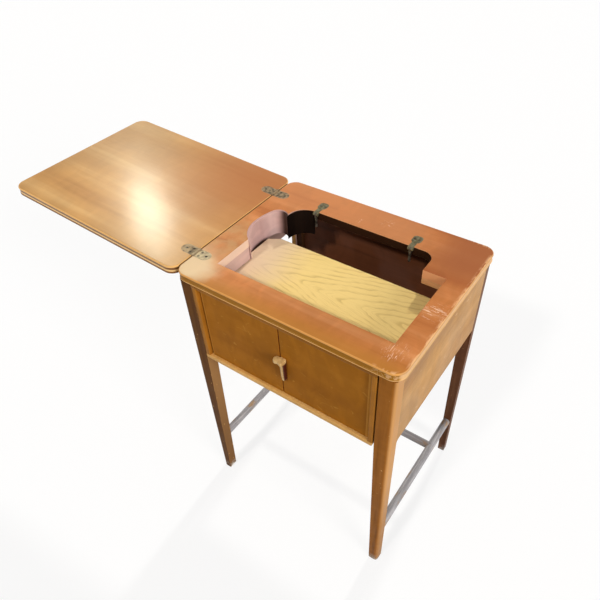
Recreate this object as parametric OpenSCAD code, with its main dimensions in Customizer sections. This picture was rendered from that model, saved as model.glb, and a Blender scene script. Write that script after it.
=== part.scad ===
// Sewing machine cabinet: a small table with a shaped well in its top, a lid
// that folds out to the left, a two-door box between the front legs, tapered
// legs and round stretchers.
// X runs along the width, Y from the front to the back and Z up. The hinge
// line of the lid is at X = 0, the middle of the depth at Y = 0, the floor at Z = 0.

/* [Cabinet] */
// Height of the top surface above the floor
cabinet_h = 760; // [720:1:800]
// Overhang of the top over the side panels
side_overhang = 7.5; // [4:0.5:12]
// Overhang of the top over the front legs
front_overhang = 2; // [1:0.5:6]
// Overhang of the top over the rear legs
rear_overhang = 3.5; // [1:0.5:8]

/* [Top and lid] */
// Width of the top, and of the lid
top_w = 546; // [500:1:590]
// Depth of the top, and of the lid
top_d = 433; // [425:1:460]
// Thickness of the top
top_t = 21; // [18:0.5:24]
// Thickness of the lid
lid_t = 21; // [16:0.5:24]
// Radius of the four corners in plan
corner_r = 27; // [16:1:34]
// Radius of the round bead at the upper and the lower arris
bead_r = 3; // [2:0.25:4]
// Depth of the channel between the two beads
channel_depth = 1.2; // [0.5:0.1:1.8]
// Gap between top and lid along the hinge line
seam = 1; // [0.8:0.1:2]
// Angle by which the far end of the open lid stands up
lid_lift = 3.4; // [0:0.1:5]
// Height of the lid's hinge pin above the top surface
pin_rise = 0.25; // [0.2:0.05:0.5]

/* [Machine well] */
// Top's front edge to the well's front edge
well_front = 68.5; // [60:0.5:76]
// Top's left edge to the well's straight left edge
well_left = 65.5; // [62:0.5:72]
// Top's right edge to the well's right edge
well_right = 50; // [44:0.5:60]
// Top's rear edge to the well's rear edge
well_rear = 88; // [84:0.5:96]
// Width of the step in the well's rear right corner
step_w = 53; // [44:0.5:60]
// Depth of that step
step_d = 61.3; // [54:0.1:68]
// Radius of the well's rear right corner
well_corner_r = 27; // [12:0.5:34]
// Radius of the front sweep of the hand wheel recess
wheel_front_r = 81; // [76:1:86]
// Radius of the long side of the hand wheel recess
wheel_side_r = 150; // [140:1:160]
// Radius of the rear end of the hand wheel recess
wheel_rear_r = 24.5; // [23:0.5:26]
// Reach of the hand wheel recess beyond the well's straight left edge
wheel_reach = 33; // [30:0.5:34]
// Well's rear edge to the widest place of that recess
wheel_widest = 107.5; // [102:0.5:112]
// Angle over which its long side turns from there to its rear end
wheel_turn = 21.2; // [18:0.2:22]
// Well's straight left edge to the side of the motor recess
motor_in = 17; // [14:0.5:18]
// Radius of the motor recess
motor_r = 48; // [46:0.5:50]
// Thickness of the bent lining of the recesses
lining_t = 2.5; // [2:0.1:3]
// Top surface to the lower edge of the linings
lining_drop = 66; // [60:1:90]

/* [Front box] */
// Gap between the box and the left front leg
box_gap_left = 0.5; // [0.3:0.1:4]
// Gap between the box and the right front leg
box_gap_right = 3.5; // [0.3:0.1:5]
// Well's rear edge to the rear edge of the box
box_rear = 71.5; // [68:0.5:100]
// Underside of the top to the underside of the box
box_h = 228; // [210:1:250]
// Thickness of the box panels
box_t = 12; // [10:0.5:15]
// Thickness of the rail over the doors
rail_t = 9; // [8:0.5:11]
// Depth of that rail and of the upright ends beside the doors
rail_d = 25; // [23:0.5:30]
// Thickness of the doors
door_t = 14; // [12:0.5:14]
// Setback of the door faces from the front edges of the box
door_setback = 7.5; // [5:0.5:8]
// Gap round each door
door_gap = 1; // [0.8:0.1:1.5]
// Gap between the two doors
meeting_gap = 1.5; // [1:0.1:2.5]
// Middle of the box to the gap between the doors, to its left
meeting_off = 3; // [0:0.5:6]
// Radius of the small rounding at the doors' free edges
door_round_r = 1.5; // [0.5:0.1:3]
// Radius of the rounded front edges of the box
nose_r = 2.5; // [1:0.1:3.5]
// Radius of the lower corners of the box
box_corner_r = 8; // [2:0.5:9.5]
// Top surface to the upper face of the loose shelf
shelf_drop = 57; // [50:1:64]
// Thickness of the loose shelf
shelf_t = 12; // [10:0.5:15]

/* [Pull] */
// Width of the pull at the front of its head
pull_w = 14; // [12:0.5:18]
// Width of the pull against the door
pull_back_w = 8.5; // [7:0.5:11]
// Height of the pull
pull_h = 62; // [54:1:68]
// Reach of its head in front of the door
pull_d = 19; // [16:0.5:21]
// Reach of its foot in front of the door
pull_foot_d = 8; // [5:0.5:10]
// Underside of the rail to the head of the pull
pull_drop = 87; // [80:1:100]

/* [Legs] */
// Width of a front leg at the top
front_leg_w = 36; // [32:0.5:37]
// Width of a front leg at the foot
front_foot_w = 23.5; // [22.5:0.5:30]
// Depth of a front leg at the top
front_leg_d = 30.5; // [27:0.5:34]
// Depth of a front leg at the foot
front_foot_d = 25; // [21:0.5:27]
// Width of a rear leg at the top
rear_leg_w = 29; // [26:0.5:32]
// Width of a rear leg at the foot
rear_foot_w = 18.5; // [17:0.5:25]
// Depth of a rear leg
rear_leg_d = 19.5; // [17:0.5:22]
// Height at which the tapers start
taper_z = 522; // [400:1:540]
// Radius of the outer upright edge of a front leg
leg_round_r = 10; // [4:0.5:12]
// Radius of the stretchers
stretcher_r = 10.5; // [8:0.5:10.5]
// Height of the stretchers' centres
stretcher_z = 147; // [100:1:220]
// Distance of the cross stretcher behind the middle
cross_y = 91; // [0:1:150]

/* [Panels] */
// Thickness of the side panels
side_t = 12; // [9:0.5:15]
// Underside of the top to the lower edge of the side panels
side_h = 212.5; // [190:0.5:225]
// Radius where a side panel's lower edge meets the front leg
side_fillet_r = 9; // [4:0.5:14]
// Thickness of the back panel
back_t = 6; // [4:0.5:7]
// Width of the opening in the left side panel
hatch_w = 95; // [70:1:110]
// Height of that opening
hatch_h = 76; // [60:1:90]
// Radius of its corners
hatch_r = 27; // [6:1:29]
// Top surface to the upper edge of that opening
hatch_drop = 122.5; // [110:0.5:130]
// Rear leg to the rear edge of that opening
hatch_rear = 6; // [5:0.5:30]
// Thickness of the battens and blocks under the top
batten_t = 14; // [10:0.5:18]

/* [Hardware] */
// Width of a lid hinge
hinge_w = 28; // [24:0.5:32]
// Reach of a hinge leaf from the hinge line
leaf_reach = 40; // [36:0.5:44]
// Thickness of a hinge leaf
leaf_t = 2; // [1.5:0.1:2.5]
// Radius of a hinge knuckle
knuckle_r = 2.8; // [2.4:0.1:3.2]
// Distance of each lid hinge from the middle
hinge_y = 143; // [138:0.5:160]
// Well's straight left edge to the left head hinge
head_in_left = 69.5; // [66:0.5:75]
// Step in the well to the right head hinge
head_in_right = 58; // [45:0.5:70]
// Width of a head hinge's plate
plate_w = 23; // [20:0.5:26]
// Length of a head hinge's plate
plate_l = 26; // [22:0.5:30]
// Radius of the pin that hangs from a head hinge
arm_pin_r = 3; // [2.5:0.1:3.5]
// Length of a hanging arm below its pivot
arm_l = 36; // [30:1:40]

/* [Hidden] */

$fn = 64;
// Overrun of a cut past the face that it opens
over = 1;
// Clearances: a pin in its bore, a piece let into its pocket, and moving metal
running = 0.05;
pocket_gap = 0.15;
free_gap = 0.3;

// Levels
top_under = cabinet_h - top_t;
pin_z = cabinet_h + pin_rise;
box_bottom_z = top_under - box_h;
box_floor_z = box_bottom_z + box_t;
rail_z = top_under - rail_t;
shelf_top_z = cabinet_h - shelf_drop;
shelf_z = shelf_top_z - shelf_t;
side_z = top_under - side_h;
batten_z = top_under - batten_t;
lining_z = cabinet_h - lining_drop;
well_wall_z = shelf_top_z + 1;

// Plan of the top
top_x0 = seam / 2;
top_x1 = top_x0 + top_w;
top_y0 = -top_d / 2;
top_y1 = top_d / 2;
mid_x = top_x0 + top_w / 2;

// Plan of the frame below it
frame_x0 = top_x0 + side_overhang;
frame_x1 = top_x1 - side_overhang;
frame_y0 = top_y0 + front_overhang;
frame_y1 = top_y1 - rear_overhang;
front_leg_back = frame_y0 + front_leg_d;
rear_leg_front = frame_y1 - rear_leg_d;
side_in0 = frame_x0 + side_t;
side_in1 = frame_x1 - side_t;
// The back panel stands a little inside the rear faces of the legs
back_inset = 2;
back_y = frame_y1 - back_inset - back_t;

// Plan of the well
well_x0 = top_x0 + well_left;
well_x1 = top_x1 - well_right;
well_y0 = top_y0 + well_front;
well_y1 = top_y1 - well_rear;
step_x = well_x1 - step_w;
step_y = well_y1 - step_d;
// The hand wheel recess has three arcs: its front sweep and its long side touch at
// its widest place, and its rear end touches the long side from within
wheel_x = well_x0 - wheel_reach;
wheel_join_y = well_y1 - wheel_widest;
wheel_front_c = [wheel_x + wheel_front_r, wheel_join_y];
wheel_side_c = [wheel_x + wheel_side_r, wheel_join_y];
// The rear end stands this little outside the long side, so that the two arcs cross
arc_cross = 0.05;
wheel_rear_c = wheel_side_c
    + (wheel_side_r - wheel_rear_r + arc_cross) * [-cos(wheel_turn), sin(wheel_turn)];
wheel_rear_y = wheel_join_y + wheel_side_r * sin(wheel_turn);
// Front end of the recess, where its sweep meets the straight left edge
wheel_y0 = wheel_join_y - sqrt(pow(wheel_front_r, 2) - pow(wheel_front_c[0] - well_x0, 2));
motor_c = [well_x0 + motor_in + motor_r, well_y1 - motor_r];
// Middle of the place where the two recesses overlap, and the point where their arcs cross
recess_d = norm(motor_c - wheel_rear_c);
recess_u = (motor_c - wheel_rear_c) / recess_d;
recess_a = (pow(wheel_rear_r, 2) - pow(motor_r, 2) + pow(recess_d, 2)) / (2 * recess_d);
recess_h = sqrt(pow(wheel_rear_r, 2) - pow(recess_a, 2));
recess_mid = wheel_rear_c + recess_a * recess_u;
cusp = recess_mid + recess_h * [-recess_u[1], recess_u[0]];

// Plan of the front box
box_x0 = frame_x0 + front_leg_w + box_gap_left;
box_x1 = frame_x1 - front_leg_w - box_gap_right;
box_w = box_x1 - box_x0;
box_in0 = box_x0 + box_t;
box_in1 = box_x1 - box_t;
// The front edges of the box stand 0.5 mm proud of the legs
box_y0 = frame_y0 - 0.5;
box_y1 = well_y1 - box_rear;
stile_back = box_y0 + rail_d;
door_face = box_y0 + door_setback;
door_axis_y = door_face + door_t / 2;
door_z = box_floor_z + door_gap;
door_h = rail_z - door_gap - door_z;
door_axis_l = box_in0 + door_gap + door_t / 2;
door_axis_r = box_in1 - door_gap - door_t / 2;
meeting_x = (box_in0 + box_in1) / 2 - meeting_off;
door_pin_r = 2.5;
door_pin_in = 7;
shelf_lap = 5.5;
shelf_clear = 1;
wall_t = 12;
wall_in = 2;
wall_back = 1;

// Lid hinges: a fixed knuckle in the middle and a moving one at each side
hinge_ys = [-hinge_y, hinge_y];
middle_knuckle = 10;
lid_pin_r = 1.3;
leaf_round = hinge_w / 2;
relief_r = knuckle_r + free_gap;
leaf_start = knuckle_r + 2 * free_gap;
screw_in = 9;
screw_from_tip = 11;
leaf_screws = [[leaf_start + screw_in, -hinge_w / 4], [leaf_start + screw_in, hinge_w / 4],
    [leaf_reach - screw_from_tip, 0]];
screw_r = 1.6;
screw_head_r = 3.2;
screw_land = 0.2;
screw_l = 13;

// Head hinges: a plate let into the top, two ears and an arm between them
head_xs = [well_x0 + head_in_left, step_x - head_in_right];
plate_t = 2.5;
plate_round = 8;
plate_back = 14.5;
plate_y = well_y1 + plate_back + plate_l / 2;
ear_r = 4;
ear_w = 3.5;
arm_w = 5;
neck_w = 2 * ear_w + arm_w + 2 * free_gap;
// The two linings meet where the recesses do; the rear one ends before the head hinge
lining_join_x = cusp[0] + lining_t / 2;
lining_x1 = head_xs[0] - neck_w / 2 - free_gap;
head_pin_r = 1.6;
arm_axis_y = well_y1 - ear_r - free_gap;
arm_axis_z = cabinet_h - ear_r - free_gap;

// Stretchers
stretcher_in = stretcher_r + 1;
tenon_r = 6;
tenon_l = 11;
tenon_gap = 0.5;

// Section of a board from a corner's centre out to its beaded edge
module edge_section(reach, t) {
    square([reach - bead_r, t]);
    translate([0, bead_r]) square([reach - channel_depth, t - 2 * bead_r]);
    translate([reach - bead_r, bead_r]) circle(bead_r);
    translate([reach - bead_r, t - bead_r]) circle(bead_r);
}

// Half of the section, so that a corner can be turned from it
module corner_section(reach, t) {
    intersection() {
        edge_section(reach, t);
        square([reach + over, t]);
    }
}

// Board with round corners and a beaded edge all round, centred in plan
module beaded_board(w, d, t) {
    in_x = w / 2 - corner_r;
    in_y = d / 2 - corner_r;
    translate([-in_x, -in_y, 0]) cube([2 * in_x, 2 * in_y, t]);
    for (k = [0 : 3]) {
        long = k % 2 == 0 ? in_y : in_x;
        out = k % 2 == 0 ? in_x : in_y;
        rotate([0, 0, 90 * k]) {
            translate([out, long, 0]) rotate([90, 0, 0])
                linear_extrude(2 * long) edge_section(corner_r, t);
            translate([out, long, 0])
                rotate_extrude(angle = 90) corner_section(corner_r, t);
        }
    }
}

// Outline of the hand wheel recess, drawn in by gap all round
module wheel_recess(gap) {
    intersection() {
        translate(wheel_front_c) circle(wheel_front_r - gap, $fn = 160);
        translate([wheel_x, wheel_y0 - over])
            square([cusp[0] - wheel_x, wheel_join_y - wheel_y0 + over]);
    }
    intersection() {
        translate(wheel_side_c) circle(wheel_side_r - gap, $fn = 240);
        translate([wheel_x, wheel_join_y])
            square([cusp[0] - wheel_x, wheel_rear_y - wheel_join_y]);
    }
    translate(wheel_rear_c) circle(wheel_rear_r - gap);
    translate([wheel_rear_c[0], wheel_join_y])
        square([motor_c[0] - wheel_rear_c[0], recess_mid[1] - wheel_join_y]);
}

// Outline of the whole well, drawn in by gap all round
module well_outline(gap) {
    translate([well_x0 + gap, well_y0 + gap])
        square([well_x1 - well_x0 - 2 * gap, step_y - well_y0 - 2 * gap]);
    wheel_recess(gap);
    translate(motor_c) circle(motor_r - gap, $fn = 96);
    translate([motor_c[0], step_y - 2 * gap - over])
        square([step_x - well_corner_r - motor_c[0], well_y1 - step_y + gap + over]);
    translate([motor_c[0], step_y - 2 * gap - over])
        square([step_x - gap - motor_c[0], step_d - well_corner_r + 2 * gap + over]);
    translate([step_x - well_corner_r, well_y1 - well_corner_r]) circle(well_corner_r - gap);
}

// Plate of a lid hinge leaf, reaching to the right, its upper face at Z = 0
module leaf_outline(grow) {
    translate([leaf_start - grow, -hinge_w / 2 - grow])
        square([leaf_reach - leaf_round - leaf_start + grow, hinge_w + 2 * grow]);
    translate([leaf_reach - leaf_round, 0]) circle(leaf_round + grow);
}

// Countersink and shank of a wood screw, its head up at Z = 0
module screw_shape(gap) {
    neck_z = -screw_land - screw_head_r + screw_r;
    rotate_extrude() polygon([[0, gap], [screw_head_r + gap, gap],
        [screw_head_r + gap, -screw_land], [screw_r + gap, neck_z], [screw_r + gap, -screw_l],
        [0, -screw_l]]);
}

// Two thirds of a lid hinge's barrel belong to one leaf and one third to the other
module knuckle(y0, l) {
    translate([0, y0 + l, pin_rise]) rotate([90, 0, 0]) cylinder(h = l, r = knuckle_r);
}

// Bore through a lid hinge's barrel
module knuckle_bore(r) {
    translate([0, hinge_w / 2 + over, pin_rise]) rotate([90, 0, 0])
        cylinder(h = hinge_w + 2 * over, r = r);
}

// Pockets for a hinge's leaf, its barrel and its screws in the board's edge
module hinge_pocket() {
    translate([0, 0, -leaf_t]) linear_extrude(leaf_t + over) union() {
        leaf_outline(pocket_gap);
        translate([-over, -hinge_w / 2 - pocket_gap])
            square([leaf_start + 2 * over, hinge_w + 2 * pocket_gap]);
    }
    translate([0, hinge_w / 2 + free_gap, pin_rise]) rotate([90, 0, 0])
        cylinder(h = hinge_w + 2 * free_gap, r = relief_r);
    for (p = leaf_screws) translate([p[0], p[1], -leaf_t]) cylinder(h = 2 * screw_l, r = screw_r
        + running, center = true);
}

// Screw holes through a leaf
module leaf_holes() {
    for (p = leaf_screws) translate([p[0], p[1], 0]) screw_shape(running);
}

// Leaf with the middle knuckle, which is fixed on the top
module fixed_leaf() {
    difference() {
        union() {
            translate([0, 0, -leaf_t]) linear_extrude(leaf_t) leaf_outline(0);
            translate([0, -middle_knuckle / 2, -leaf_t])
                cube([leaf_start + over, middle_knuckle, leaf_t]);
            knuckle(-middle_knuckle / 2, middle_knuckle);
        }
        knuckle_bore(lid_pin_r);
        leaf_holes();
    }
}

// Leaf with the two outer knuckles, which moves with the lid
module moving_leaf() {
    outer_l = (hinge_w - middle_knuckle) / 2 - free_gap;
    difference() {
        union() {
            translate([0, 0, -leaf_t]) linear_extrude(leaf_t) leaf_outline(0);
            for (y0 = [-hinge_w / 2, hinge_w / 2 - outer_l]) {
                translate([0, y0, -leaf_t]) cube([leaf_start + over, outer_l, leaf_t]);
                knuckle(y0, outer_l);
            }
        }
        knuckle_bore(lid_pin_r + running);
        leaf_holes();
    }
}

// Puts what is drawn over the top at each lid hinge
module at_top_hinges() {
    for (y = hinge_ys) translate([0, y, cabinet_h]) children();
}

// Puts what is drawn for the lid at its lifted place, mirrored to the left
module at_lid() {
    translate([0, 0, pin_z]) rotate([0, lid_lift, 0]) translate([0, 0, -pin_rise])
        mirror([1, 0, 0]) children();
}

// Plate, neck and ears of a head hinge, its upper face at Z = 0, its pivot at X = 0
module head_plate() {
    back = plate_y - arm_axis_y + plate_l / 2;
    front = back - plate_l;
    ear_z = arm_axis_z - cabinet_h;
    difference() {
        union() {
            translate([0, 0, -plate_t]) linear_extrude(plate_t) plate_outline(0);
            for (x = [-neck_w / 2, neck_w / 2 - ear_w])
                translate([x, 0, ear_z]) rotate([0, 90, 0]) cylinder(h = ear_w, r = ear_r);
        }
        translate([-neck_w, 0, ear_z]) rotate([0, 90, 0]) cylinder(h = 2 * neck_w, r = head_pin_r);
        translate([-arm_w / 2 - free_gap, 0, ear_z]) rotate([0, 90, 0])
            cylinder(h = arm_w + 2 * free_gap, r = ear_r + free_gap);
        for (s = [-1, 1]) translate([s * plate_w / 4, (front + back) / 2, 0]) screw_shape(running);
    }
}

// Outline of a head hinge's plate and neck, grown by gap
module plate_outline(gap) {
    back = plate_y - arm_axis_y + plate_l / 2;
    front = back - plate_l;
    for (x = [-plate_w / 2 + plate_round, plate_w / 2 - plate_round])
        for (y = [front + plate_round, back - plate_round])
            translate([x, y]) circle(plate_round + gap);
    translate([-plate_w / 2 - gap, front + plate_round])
        square([plate_w + 2 * gap, plate_l - 2 * plate_round]);
    translate([-plate_w / 2 + plate_round, front - gap])
        square([plate_w - 2 * plate_round, plate_l + 2 * gap]);
    translate([-neck_w / 2 - gap, 0]) square([neck_w + 2 * gap, front + plate_round]);
}

// Puts what is drawn at each head hinge
module at_head_hinges() {
    for (x = head_xs) translate([x, arm_axis_y, cabinet_h]) children();
}

// Arm of a head hinge: an eye, a short shank and the round pin that carries the machine
module head_arm() {
    shank_l = 9;
    difference() {
        union() {
            translate([-arm_w / 2, 0, 0]) rotate([0, 90, 0]) cylinder(h = arm_w, r = ear_r);
            translate([-arm_w / 2, -arm_w / 2, -shank_l]) cube([arm_w, arm_w, shank_l]);
            translate([0, 0, -arm_l + arm_pin_r / 2])
                cylinder(h = arm_l - shank_l - arm_pin_r / 2 + over, r = arm_pin_r);
            translate([0, 0, -arm_l]) cylinder(h = arm_pin_r / 2, r1 = arm_pin_r / 2, r2 = arm_pin_r);
        }
        translate([-arm_w, 0, 0]) rotate([0, 90, 0])
            cylinder(h = 2 * arm_w, r = head_pin_r + running);
    }
}

// Leg with its outer corner at the origin; width and depth taper on the inner faces
module tapered_leg(w, foot_w, d, foot_d, r) {
    worn = 2;
    intersection() {
        translate([0, d, 0]) rotate([90, 0, 0]) linear_extrude(d)
            polygon([[worn, 0], [foot_w - worn, 0], [foot_w, worn], [w, taper_z], [w, top_under],
                [0, top_under], [0, worn]]);
        rotate([90, 0, 90]) linear_extrude(w)
            polygon([[worn, 0], [foot_d - worn, 0], [foot_d, worn], [d, taper_z], [d, top_under],
                [0, top_under], [0, worn]]);
        linear_extrude(top_under) union() {
            translate([r, r]) circle(r);
            translate([r, 0]) square([w - r, d]);
            translate([0, r]) square([w, d - r]);
        }
    }
}

// Socket for a side stretcher's tenon, from a leg's inner face into the wood
module tenon_socket(y, into) {
    translate([stretcher_in, y, stretcher_z]) rotate([-90 * into, 0, 0])
        cylinder(h = tenon_l + tenon_gap, r = tenon_r + running);
}

// Depth of a front leg at the height of the stretchers
front_depth_low = front_foot_d + (front_leg_d - front_foot_d)
    * (stretcher_z - stretcher_r) / taper_z;
front_depth_high = front_foot_d + (front_leg_d - front_foot_d)
    * (stretcher_z + stretcher_r) / taper_z;

module leg_front_left() {
    color([0.42, 0.26, 0.13]) translate([frame_x0, frame_y0, 0]) difference() {
        tapered_leg(front_leg_w, front_foot_w, front_leg_d, front_foot_d, leg_round_r);
        tenon_socket(front_depth_high, -1);
        translate([stretcher_in, front_depth_low - over, stretcher_z]) rotate([-90, 0, 0])
            cylinder(h = 2 * over, r = tenon_r + running);
    }
}

module leg_front_right() {
    translate([2 * mid_x, 0, 0]) mirror([1, 0, 0]) leg_front_left();
}

module leg_rear_left() {
    color([0.3, 0.2, 0.15]) translate([frame_x0, frame_y1, 0]) mirror([0, 1, 0]) difference() {
        tapered_leg(rear_leg_w, rear_foot_w, rear_leg_d, rear_leg_d, leg_round_r / 4);
        tenon_socket(rear_leg_d, -1);
        translate([stretcher_in, rear_leg_d - over, stretcher_z]) rotate([-90, 0, 0])
            cylinder(h = 2 * over, r = tenon_r + running);
    }
}

module leg_rear_right() {
    translate([2 * mid_x, 0, 0]) mirror([1, 0, 0]) leg_rear_left();
}

// Side stretcher: a dowel with a turned tenon at each end
module side_stretcher() {
    y0 = frame_y0 + front_depth_high;
    y1 = rear_leg_front;
    translate([frame_x0 + stretcher_in, 0, stretcher_z]) rotate([-90, 0, 0]) {
        translate([0, 0, y0]) cylinder(h = y1 - y0, r = stretcher_r);
        translate([0, 0, y0 - tenon_l]) cylinder(h = y1 - y0 + 2 * tenon_l, r = tenon_r);
    }
}

// Blind hole in a side stretcher for the cross stretcher's tenon
module cross_socket() {
    translate([frame_x0 + stretcher_in + stretcher_r, cross_y, stretcher_z])
        rotate([0, 90, 0]) cylinder(h = 2 * stretcher_r, r = tenon_r + running, center = true);
}

module stretcher_left() {
    color([0.6, 0.57, 0.54]) difference() {
        side_stretcher();
        cross_socket();
    }
}

module stretcher_right() {
    translate([2 * mid_x, 0, 0]) mirror([1, 0, 0]) stretcher_left();
}

module stretcher_cross() {
    x0 = frame_x0 + stretcher_in;
    x1 = 2 * mid_x - x0;
    color([0.6, 0.57, 0.54]) {
        difference() {
            translate([x0, cross_y, stretcher_z]) rotate([0, 90, 0])
                cylinder(h = x1 - x0, r = stretcher_r);
            for (x = [x0, x1]) translate([x, 0, stretcher_z]) rotate([90, 0, 0])
                cylinder(h = 2 * top_d, r = stretcher_r + running, center = true);
        }
        translate([x0 + tenon_gap, cross_y, stretcher_z]) rotate([0, 90, 0])
            cylinder(h = x1 - x0 - 2 * tenon_gap, r = tenon_r);
    }
}

module top_board() {
    color([0.76, 0.48, 0.28]) difference() {
        translate([mid_x, 0, top_under]) beaded_board(top_w, top_d, top_t);
        translate([0, 0, top_under - over]) linear_extrude(top_t + 2 * over) well_outline(0);
        at_top_hinges() hinge_pocket();
        at_head_hinges() {
            translate([0, 0, -plate_t]) linear_extrude(plate_t + over) plate_outline(pocket_gap);
            for (s = [-1, 1]) translate([s * plate_w / 4, plate_y - arm_axis_y, -plate_t])
                cylinder(h = 2 * screw_l, r = screw_r + running, center = true);
        }
    }
}

module lid_board() {
    color([0.84, 0.66, 0.44]) at_lid() difference() {
        translate([mid_x, 0, -lid_t]) beaded_board(top_w, top_d, lid_t);
        for (y = hinge_ys) translate([0, y, 0]) hinge_pocket();
    }
}

// Part of the bent lining between two places along X, down to z0
module lining(x0, x1, z0) {
    translate([0, 0, z0]) linear_extrude(cabinet_h - bead_r - z0) intersection() {
        difference() {
            well_outline(pocket_gap);
            well_outline(pocket_gap + lining_t);
        }
        translate([x0, wheel_y0]) square([x1 - x0, well_y1 - wheel_y0]);
    }
}

// The front end of this lining stops above the box and the loose shelf
module wheel_lining() {
    notch_x = box_x0 - shelf_clear;
    color([0.45, 0.3, 0.28]) difference() {
        lining(wheel_x, lining_join_x - pocket_gap, lining_z);
        translate([notch_x, wheel_y0 - over, lining_z - over])
            cube([well_x0 + 2 * lining_t - notch_x, box_y1 + shelf_clear - wheel_y0 + over,
                well_wall_z - lining_z + over]);
    }
}

module motor_lining() {
    color([0.28, 0.17, 0.15]) lining(lining_join_x, lining_x1, lining_z);
}

module well_wall() {
    wall_y0 = well_y0 + wall_in;
    color([0.42, 0.25, 0.22]) translate([well_x0 - wall_t - wall_back, wall_y0, well_wall_z])
        cube([wall_t, wheel_y0 - pocket_gap - wall_y0, top_under - well_wall_z]);
}

module doubler_right() {
    color([0.78, 0.6, 0.4]) translate([step_x, step_y, batten_z])
        cube([side_in1 - step_x, rear_leg_front - step_y, batten_t]);
}

module doubler_rear() {
    front = well_y1 + 2 * ear_r + plate_l / 2;
    color([0.32, 0.2, 0.15]) translate([frame_x0 + rear_leg_w, front, batten_z])
        cube([step_x - frame_x0 - rear_leg_w, back_y - front, batten_t]);
}

module top_battens() {
    left_w = 11;
    right_w = 16;
    color([0.6, 0.42, 0.26]) {
        translate([side_in0, front_leg_back, batten_z])
            cube([left_w, rear_leg_front - front_leg_back, batten_t]);
        translate([side_in1 - right_w, front_leg_back, batten_z])
            cube([right_w, step_y - front_leg_back, batten_t]);
    }
}

// Side panel in the plane of its outer face: depth along X, height along Y
module side_outline() {
    l = rear_leg_front - front_leg_back;
    square([l, side_h]);
    difference() {
        translate([0, -side_fillet_r]) square([side_fillet_r, side_fillet_r + over]);
        translate([side_fillet_r, -side_fillet_r]) circle(side_fillet_r);
    }
}

module side_panel(x) {
    translate([x, front_leg_back, side_z]) rotate([90, 0, 90]) linear_extrude(side_t)
        children();
}

module side_panel_right() {
    color([0.79, 0.61, 0.4]) side_panel(side_in1) side_outline();
}

module side_panel_left() {
    hatch_x = rear_leg_front - front_leg_back - hatch_rear - hatch_w;
    hatch_y = cabinet_h - hatch_drop - hatch_h - side_z;
    color([0.6, 0.4, 0.24]) side_panel(frame_x0) difference() {
        side_outline();
        translate([hatch_x, hatch_y]) {
            for (x = [hatch_r, hatch_w - hatch_r])
                for (y = [hatch_r, hatch_h - hatch_r])
                    translate([x, y]) circle(hatch_r);
            translate([hatch_r, 0]) square([hatch_w - 2 * hatch_r, hatch_h]);
            translate([0, hatch_r]) square([hatch_w, hatch_h - 2 * hatch_r]);
        }
    }
}

module back_panel() {
    color([0.34, 0.19, 0.16]) translate([frame_x0 + rear_leg_w, back_y, box_bottom_z])
        cube([frame_x1 - frame_x0 - 2 * rear_leg_w, back_t, box_h]);
}

// Section of a box board, l deep and t thick, its front edge rounded
module nosed_section(l, t) {
    translate([nose_r, 0]) square([l - nose_r, t]);
    translate([0, nose_r]) square([l, t - 2 * nose_r]);
    for (y = [nose_r, t - nose_r]) translate([nose_r, y]) circle(nose_r);
}

// Front view of the box's bottom, its lower corners rounded
module bottom_outline() {
    translate([box_corner_r, 0]) square([box_w - 2 * box_corner_r, box_t]);
    translate([0, box_corner_r]) square([box_w, box_t - box_corner_r]);
    for (x = [box_corner_r, box_w - box_corner_r])
        translate([x, box_corner_r]) circle(box_corner_r);
}

module box_bottom() {
    l = back_y - box_y0;
    color([0.76, 0.55, 0.3]) difference() {
        translate([box_x0, box_y0, box_bottom_z]) intersection() {
            rotate([90, 0, 90]) linear_extrude(box_w) nosed_section(l, box_t);
            translate([0, l, 0]) rotate([90, 0, 0]) linear_extrude(l) bottom_outline();
        }
        for (x = [door_axis_l, door_axis_r]) translate([x, door_axis_y, box_floor_z - door_pin_in])
            cylinder(h = door_pin_in + over, r = door_pin_r);
    }
}

// End of the box: low behind, where it carries the shelf, and full height beside the door
module box_end(x) {
    translate([x, box_y0, box_floor_z]) linear_extrude(rail_z - box_floor_z)
        mirror([1, 0]) rotate(90) nosed_section(rail_d, box_t);
    translate([x, stile_back, box_floor_z])
        cube([box_t, box_y1 - stile_back, shelf_z - box_floor_z]);
}

module box_end_left() {
    color([0.72, 0.5, 0.27]) box_end(box_x0);
}

module box_end_right() {
    color([0.72, 0.5, 0.27]) box_end(box_in1);
}

module box_rail() {
    color([0.6, 0.4, 0.2]) difference() {
        translate([box_x0, box_y0, rail_z]) rotate([90, 0, 90]) linear_extrude(box_w)
            nosed_section(rail_d, rail_t);
        for (x = [door_axis_l, door_axis_r]) translate([x, door_axis_y, rail_z - over])
            cylinder(h = door_pin_in + over, r = door_pin_r);
    }
}

module box_cleats() {
    cleat_h = 25;
    cleat_z = side_z + 2 * cleat_h;
    color([0.6, 0.42, 0.26]) {
        translate([side_in0, front_leg_back, cleat_z])
            cube([box_x0 - side_in0, box_y1 - front_leg_back, cleat_h]);
        translate([box_x1, front_leg_back, cleat_z])
            cube([side_in1 - box_x1, box_y1 - front_leg_back, cleat_h]);
    }
}

module shelf_board() {
    x0 = box_in0 - shelf_lap;
    x1 = box_in1 + shelf_lap;
    clip_x = 27;
    clip_y = 17;
    y0 = stile_back + shelf_clear;
    color([0.9, 0.78, 0.5]) translate([0, 0, shelf_z]) linear_extrude(shelf_t)
        polygon([[x0, y0], [x1, y0], [x1, box_y1], [x0 + clip_x, box_y1], [x0, box_y1 - clip_y]]);
}

module door_pivot_pins() {
    stick = 10;
    color([0.6, 0.55, 0.45]) for (x = [door_axis_l, door_axis_r]) {
        translate([x, door_axis_y, box_floor_z - door_pin_in])
            cylinder(h = door_pin_in + door_gap + stick, r = door_pin_r);
        translate([x, door_axis_y, rail_z - door_gap - stick])
            cylinder(h = door_pin_in + door_gap + stick, r = door_pin_r);
    }
}

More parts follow.
